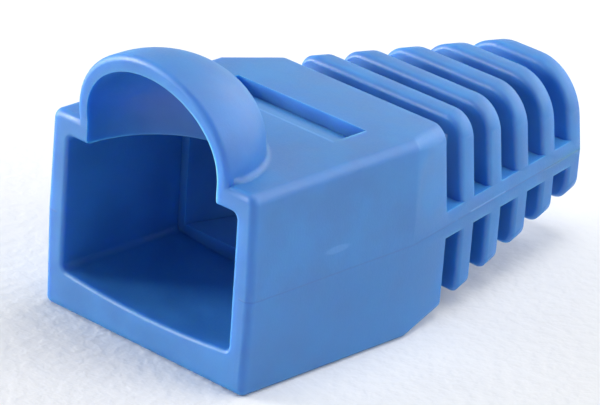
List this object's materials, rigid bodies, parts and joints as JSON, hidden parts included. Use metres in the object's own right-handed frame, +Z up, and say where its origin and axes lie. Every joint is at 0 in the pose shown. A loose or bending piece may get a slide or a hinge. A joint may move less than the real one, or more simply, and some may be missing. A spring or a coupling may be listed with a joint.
{
  "type": "modular plug strain relief boot",
  "caption": "One-piece soft boot that slides over an eight-way modular plug: latch hood over an open plug socket, slotted flexible tail and cable bore.",
  "frame": {"origin": "middle of the footprint, on the plane of the flat underside", "axes": "+X across the plug, +Y from the mouth towards the cable, +Z up towards the latch hood"},
  "size_m": [0.0144, 0.0282, 0.0154],
  "materials": {
    "boot": "soft flexible PVC, semi-matte, one blue all through"
  },
  "bodies": {
    "root": {"boot": "boot"}
  },
  "joints": []
}
